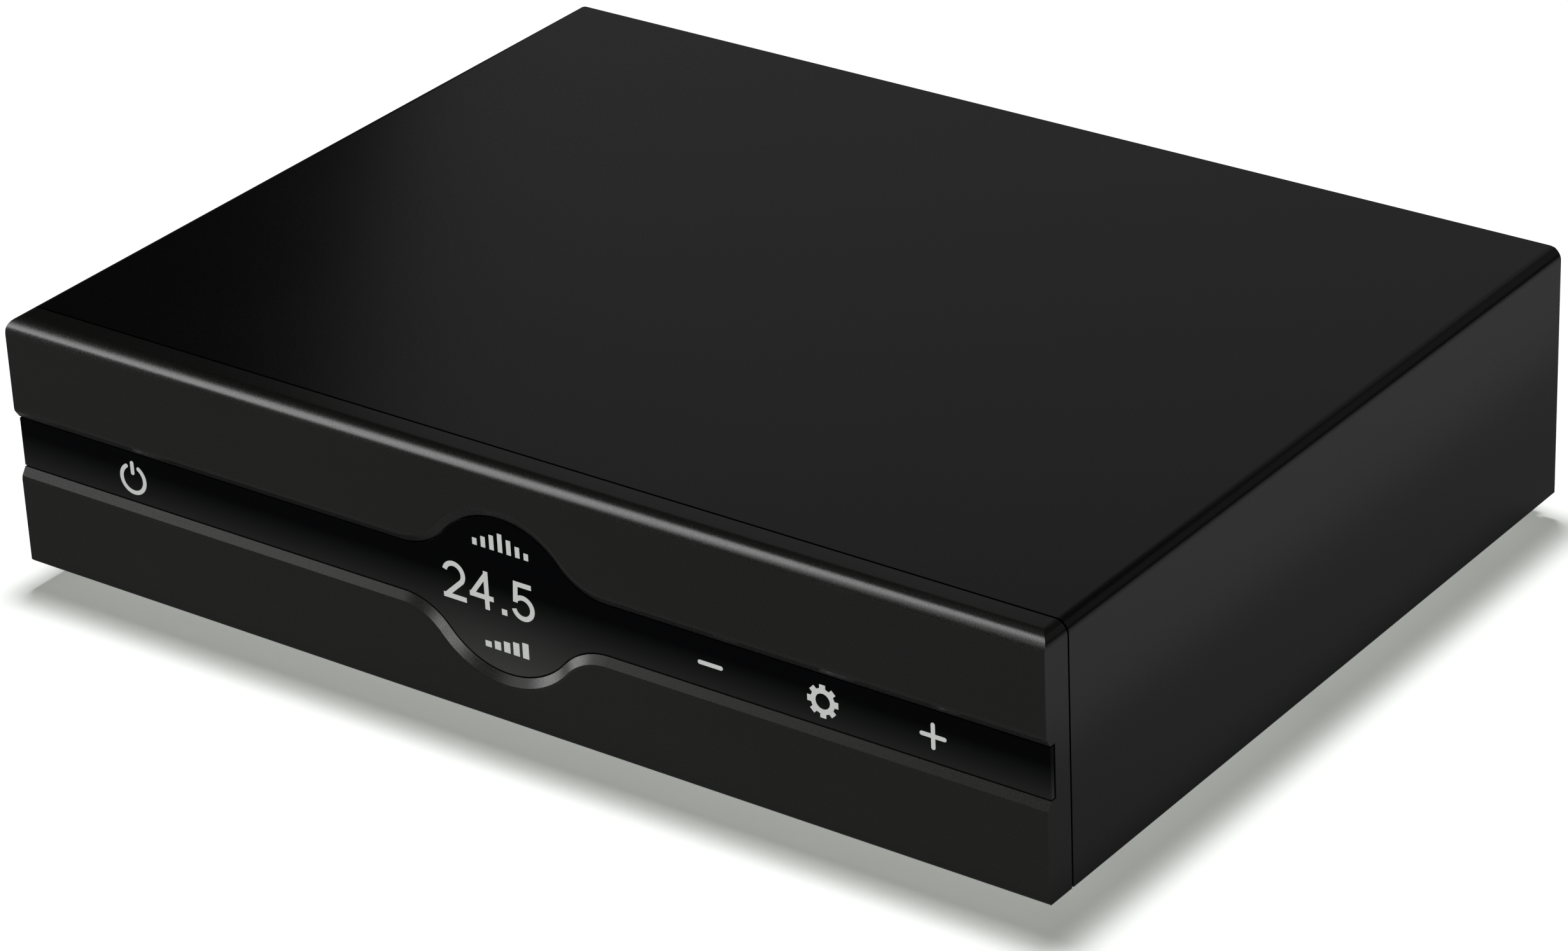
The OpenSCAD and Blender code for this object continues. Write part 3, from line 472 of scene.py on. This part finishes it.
def panel_ring(x_out, x_in, height_out, height_in, z_top):
    """One closed cross-section: up the front with the groove, round the brow, and down the back."""
    y = FRONT_Y
    ring = [(x_out, PANEL_BACK, CASE_LOW)]
    ring += [(x_out, y + CHAMFER, CASE_LOW), (x_out, y, CASE_LOW + CHAMFER)]
    groove = [(x_out, y, height_out + EASE_W), (x_out, y + EASE_D, height_out)]
    groove += [(x_in, y + BEVEL_D, height_in), (x_in, y + GROOVE_D, height_in)]
    ring += [(x, depth, STRIP_Z - height) for x, depth, height in groove]
    ring += [(x, depth, STRIP_Z + height) for x, depth, height in reversed(groove)]
    brow_low = CASE_TOP - BROW_R
    brow_turn = math.asin(min(1.0, (z_top - brow_low) / BROW_R))
    for turn in spread(0, brow_turn, ROUND_STEPS):
        ring.append((x_out, y + BROW_R * (1 - math.cos(turn)), brow_low + BROW_R * math.sin(turn)))
    ring.append((x_out, PANEL_BACK, z_top))
    return ring


# Which face of each cross-section is the bevel below the strip.
LOWER_BEVEL = 4


def front_panel():
    """The panel is a row of cross-sections from left to right, with the round corners at the ends."""
    rings = []
    for (x_out, high), (x_in, low) in zip(contour(0), contour(BEVEL_W)):
        rings.append(panel_ring(x_out, x_in, high, low, CASE_TOP))
    for turn in spread(math.pi / 2, 0, ROUND_STEPS)[1:]:
        x = HALF_W - CORNER_R + CORNER_R * math.cos(turn)
        z = CASE_TOP - CORNER_R + CORNER_R * math.sin(turn)
        rings.append(panel_ring(x, x, STRIP_HALF, STRIP_HALF - BEVEL_W, z))
        rings.insert(0, panel_ring(-x, -x, STRIP_HALF, STRIP_HALF - BEVEL_W, z))
    vertices, faces = loft(rings)
    shell = piece("front_panel_shell", vertices, faces, "anodised_black", ["front_panel"])
    # The lower bevel takes the copy of the finish that is painted lighter, as painted light.
    shell.data.materials.append(LIGHTER_BEVEL)
    count = len(rings[0])
    for face in shell.data.polygons[:-2]:
        face.material_index = face.index % count == LOWER_BEVEL
    return soften(shell, PANEL_EDGE)


def panel_rim():
    """The rim behind the panel that fits inside the cover and closes the shadow gap."""
    front, back = PANEL_BACK - RIM_OVERLAP, PANEL_BACK + RIM_DEPTH
    rings = []
    for y, wall in ((front, 0), (back, 0), (back, RIM_WALL), (front, RIM_WALL)):
        x = HALF_W - RIM_INSET - wall
        low, high = CASE_LOW + RIM_LIFT + wall, CASE_TOP - RIM_LIFT - wall
        rings.append([(-x, y, low), (x, y, low), (x, y, high), (-x, y, high)])
    vertices, faces = band(rings)
    return soften(piece("front_panel_rim", vertices, faces, "anodised_black"), RIM_EDGE)


def lens():
    """The glossy strip, one solid with the round bulge, flush with the panel's ends."""
    edge = contour(BEVEL_W + LENS_SLACK)
    edge = [(-HALF_W, edge[0][1])] + edge + [(HALF_W, edge[-1][1])]
    front, back = lens_lo.y, lens_hi.y
    rings = []
    for x, height in edge:
        low, high = STRIP_Z - height, STRIP_Z + height
        rings.append([(x, front, low), (x, front, high), (x, back, high), (x, back, low)])
    vertices, faces = loft(rings)
    strip = piece("display_strip", vertices, faces, "glossy_strip", ["display_lens"])
    return soften(strip, STRIP_EDGE)


def cover():
    """The U-shaped cover: one bent outline carried from the shadow gap to the rear edge."""
    round_x, round_z = HALF_W - CORNER_R, CASE_TOP - CORNER_R
    inner_x, inner_z = HALF_W - COVER_WALL, CASE_TOP - COVER_WALL
    outline = [(-HALF_W, CASE_LOW)]
    outline += arc((-round_x, round_z), CORNER_R, spread(math.pi, math.pi / 2, ROUND_STEPS))
    outline += arc((round_x, round_z), CORNER_R, spread(math.pi / 2, 0, ROUND_STEPS))
    outline += [(HALF_W, CASE_LOW), (inner_x, CASE_LOW), (inner_x, inner_z)]
    outline += [(-inner_x, inner_z), (-inner_x, CASE_LOW)]
    rings = [[(x, cover_lo.y, z) for x, z in outline]]
    rings.append([(x, cover_hi.y - REAR_EASE, z) for x, z in outline])
    eased = [(x * (1 - REAR_EASE / HALF_W), min(z, CASE_TOP - REAR_EASE)) for x, z in outline]
    rings.append([(x, cover_hi.y, z) for x, z in eased])
    vertices, faces = loft(rings)
    return piece("cover_shell", vertices, faces, "anodised_black", ["top_cover"])


front_panel()
panel_rim()
lens()
cover()


# ---------------------------------------------------------------- CAD pieces that stay
SLOTS = {row["node"]: row["material_slot"] for row in frame["record"]["subparts"]}


def finish_cad_nodes():
    """Gives each CAD node its look, joins its flat faces and rounds its edges slightly."""
    for name, node in NODES.items():
        for material_slot in node.material_slots:
            material_slot.material = LOOKS[SLOTS[name]]
        merge = node.modifiers.new("flat_faces", "DECIMATE")
        merge.decimate_type = "DISSOLVE"
        merge.angle_limit = FLAT_WITHIN
        soften(node, CAD_EDGES.get(name, CAD_EDGE), segments=2, angle=40)


finish_cad_nodes()


# ---------------------------------------------------------------- studio
# The camera's heading, tilt and roll, its place in metres, and its lens.
VIEW_AZIMUTH, VIEW_ELEVATION, VIEW_ROLL = (math.radians(a) for a in (37.049, 27.540, -2.6205))
CAMERA_AT = Vector((0.57026, -0.76230, 0.51195))
LENS_MM = 125.17
SENSOR_MM = 36
CLIP_NEAR, CLIP_FAR = 0.05, 50
FLOOR_REACH = 6.0

# Which objects a group of lights reaches: INCLUDE means only these, EXCLUDE means all but these.
RECEIVERS = {
    "object_only": (["studio_floor"], "EXCLUDE"),
    "floor_only": (["studio_floor"], "INCLUDE"),
    "panel_only": (["front_panel_shell"], "INCLUDE"),
    "rear_only": (["studio_floor", "cover_shell", "front_panel_shell"], "EXCLUDE"),
}

# Each light's direction and distance from the object, width, height, power and receivers.
# side_glow lies just above the floor and faces up. The sheens light the top in the other views.
LIGHTS = {
    "key": ((-0.041, 0.055, 1.0), 1.6, 0.28, 0.28, 8, "floor_only"),
    "overhead": ((0, 0, 1), 1.6, 1.2, 1.2, 3.5, "object_only"),
    "brow_light": ((-0.53, -0.56, 0.62), 1.5, 0.42, 1.25, 10, "panel_only"),
    "bevel_front_light": ((0.26, -0.89, 0.37), 1.6, 0.75, 0.65, 37, "panel_only"),
    "bevel_left_light": ((-0.94, -0.31, 0.15), 1.4, 0.80, 0.50, 18, "panel_only"),
    "fill": ((-0.30, -0.80, 0.50), 1.8, 1.4, 1.0, 1.6, "object_only"),
    "top_light": ((-0.13, 0.41, 0.225), 0.475, 0.56, 0.36, 0.105, "object_only"),
    "rear_light": ((0.10, 0.90, 0.42), 1.6, 1.0, 0.6, 20, "rear_only"),
    "underside_light": ((0, 0, -1), 0.8, 0.5, 0.5, 5, "object_only"),
    "side_glow": ((0.275, 0.15, -0.026), 0.314, 0.24, 0.60, 0.075, "object_only", (0, 0, -1)),
    "sheen_front_right": ((0.55, -0.70, 0.42), 1.6, 1.2, 0.8, 1.2, "object_only"),
    "sheen_right": ((0.95, -0.05, 0.36), 1.6, 1.2, 0.8, 1.2, "object_only"),
    "sheen_left": ((-0.95, -0.05, 0.36), 1.6, 1.2, 0.8, 1.2, "object_only"),
    "sheen_rear_right": ((0.52, 0.74, 0.42), 1.6, 1.2, 0.8, 0.35, "object_only"),
}

# The floor's bounce, its own glow, and how much stronger the glow is far away: seen and reflected.
FLOOR_SEEN = (2.7, (0.262, 0.275, 0.250), 4.0)
FLOOR_LIT = (0.37, (0.055, 0.055, 0.055), 1.0)
# Where the glow starts to rise and where it is full, in metres from the middle of the floor.
GLOW_RISE = (0.45, 1.3)
# The world's colour and strength: as the background, and as it lights the object.
WORLD_SEEN = ((1, 1, 1, 1), 1.0)
WORLD_LIT = ((0.95, 0.98, 1.0, 1), 0.012)


def camera():
    """A camera that looks along VIEW_AZIMUTH and VIEW_ELEVATION, turned by VIEW_ROLL."""
    ahead = Vector((
        -math.sin(VIEW_AZIMUTH) * math.cos(VIEW_ELEVATION),
        math.cos(VIEW_AZIMUTH) * math.cos(VIEW_ELEVATION),
        -math.sin(VIEW_ELEVATION),
    ))
    level = Vector((math.cos(VIEW_AZIMUTH), math.sin(VIEW_AZIMUTH), 0))
    right = level * math.cos(VIEW_ROLL) + level.cross(ahead) * math.sin(VIEW_ROLL)
    up = right.cross(ahead)
    turned = Matrix((right, up, -ahead)).transposed().to_4x4()
    data = bpy.data.cameras.new("camera")
    data.lens = LENS_MM
    data.sensor_width = SENSOR_MM
    data.clip_start, data.clip_end = CLIP_NEAR, CLIP_FAR
    made = bpy.data.objects.new("camera", data)
    made.matrix_world = Matrix.Translation(CAMERA_AT) @ turned
    bpy.context.scene.collection.objects.link(made)
    bpy.context.scene.camera = made


def softbox(name, direction, distance, width, height, power, lit_group, turned_from=None):
    """A rectangle of light that faces the object, or away from turned_from if that is given."""
    data = bpy.data.lights.new(name, "AREA")
    data.shape = "RECTANGLE"
    data.size, data.size_y = width, height
    data.energy = power
    made = bpy.data.objects.new(name, data)
    aim = Vector(direction).normalized()
    made.location = Vector((0, 0, CASE_TOP / 2)) + aim * distance
    made.rotation_euler = Vector(turned_from or aim).to_track_quat("Z", "Y").to_euler()
    made.visible_camera = False
    bpy.context.scene.collection.objects.link(made)
    made.light_linking.receiver_collection = bpy.data.collections[lit_group]


def receiver_group(name, objects, state):
    """A collection that says which objects a light reaches, as RECEIVERS describes."""
    listed = bpy.data.collections.new(name)
    for item in objects:
        listed.objects.link(bpy.data.objects[item])
    for row in listed.collection_objects:
        row.light_linking.link_state = state


def seen_or_lit(tree, seen, lit):
    """Mixes two shaders: one for what the camera sees, one for what lights the object."""
    path = tree.nodes.new("ShaderNodeLightPath")
    mix = tree.nodes.new("ShaderNodeMixShader")
    tree.links.new(path.outputs["Is Camera Ray"], mix.inputs[0])
    tree.links.new(lit.outputs[0], mix.inputs[1])
    tree.links.new(seen.outputs[0], mix.inputs[2])
    return mix.outputs[0]


def glowing_floor(tree, bounce, glow, far):
    """Diffuse paper with a little light of its own, far times as strong at the end of GLOW_RISE."""
    diffuse = tree.nodes.new("ShaderNodeBsdfDiffuse")
    diffuse.inputs["Color"].default_value = (bounce, bounce, bounce, 1)
    emission = tree.nodes.new("ShaderNodeEmission")
    emission.inputs["Color"].default_value = (*glow, 1)
    both = tree.nodes.new("ShaderNodeAddShader")
    tree.links.new(diffuse.outputs[0], both.inputs[0])
    tree.links.new(emission.outputs[0], both.inputs[1])
    place = tree.nodes.new("ShaderNodeTexCoord")
    away = tree.nodes.new("ShaderNodeVectorMath")
    away.operation = "LENGTH"
    tree.links.new(place.outputs["Object"], away.inputs[0])
    rise = tree.nodes.new("ShaderNodeMapRange")
    rise.inputs["From Min"].default_value, rise.inputs["From Max"].default_value = GLOW_RISE
    rise.inputs["To Min"].default_value, rise.inputs["To Max"].default_value = 1.0, far
    tree.links.new(away.outputs["Value"], rise.inputs["Value"])
    tree.links.new(rise.outputs["Result"], emission.inputs["Strength"])
    return both


def one_sided(tree, surface):
    """Clears a surface as it is seen from below, so that the underside shows."""
    geometry = tree.nodes.new("ShaderNodeNewGeometry")
    clear = tree.nodes.new("ShaderNodeBsdfTransparent")
    mix = tree.nodes.new("ShaderNodeMixShader")
    tree.links.new(geometry.outputs["Backfacing"], mix.inputs[0])
    tree.links.new(surface, mix.inputs[1])
    tree.links.new(clear.outputs[0], mix.inputs[2])
    return mix.outputs[0]


def studio_world():
    """A white background that lights the object only faintly."""
    world = bpy.data.worlds.new("studio")
    bpy.context.scene.world = world
    world.use_nodes = True
    tree = world.node_tree
    lit = tree.nodes["Background"]
    lit.inputs["Color"].default_value, lit.inputs["Strength"].default_value = WORLD_LIT
    seen = tree.nodes.new("ShaderNodeBackground")
    seen.inputs["Color"].default_value, seen.inputs["Strength"].default_value = WORLD_SEEN
    surface = seen_or_lit(tree, seen, lit)
    tree.links.new(surface, tree.nodes["World Output"].inputs["Surface"])


def studio_floor():
    """A pale sheet that blocks no light, so that the light below it reaches the underside."""
    mesh = bpy.data.meshes.new("studio_floor")
    corners = [(x * FLOOR_REACH, y * FLOOR_REACH, 0) for x, y in ((-1, -1), (1, -1), (1, 1), (-1, 1))]
    mesh.from_pydata(corners, [], [(0, 1, 2, 3)])
    floor = bpy.data.objects.new("studio_floor", mesh)
    bpy.context.scene.collection.objects.link(floor)
    floor.visible_shadow = False
    pale = bpy.data.materials.new("pale_floor")
    pale.use_nodes = True
    tree = pale.node_tree
    seen = glowing_floor(tree, *FLOOR_SEEN)
    lit = glowing_floor(tree, *FLOOR_LIT)
    surface = one_sided(tree, seen_or_lit(tree, seen, lit))
    tree.links.new(surface, tree.nodes["Material Output"].inputs["Surface"])
    mesh.materials.append(pale)


def studio():
    """The world, the floor and the lights, in that order."""
    bpy.context.scene.view_settings.view_transform = "Standard"
    studio_world()
    studio_floor()
    for name, (objects, state) in RECEIVERS.items():
        receiver_group(name, objects, state)
    for name, plan in LIGHTS.items():
        softbox(name, *plan)


camera()
studio()
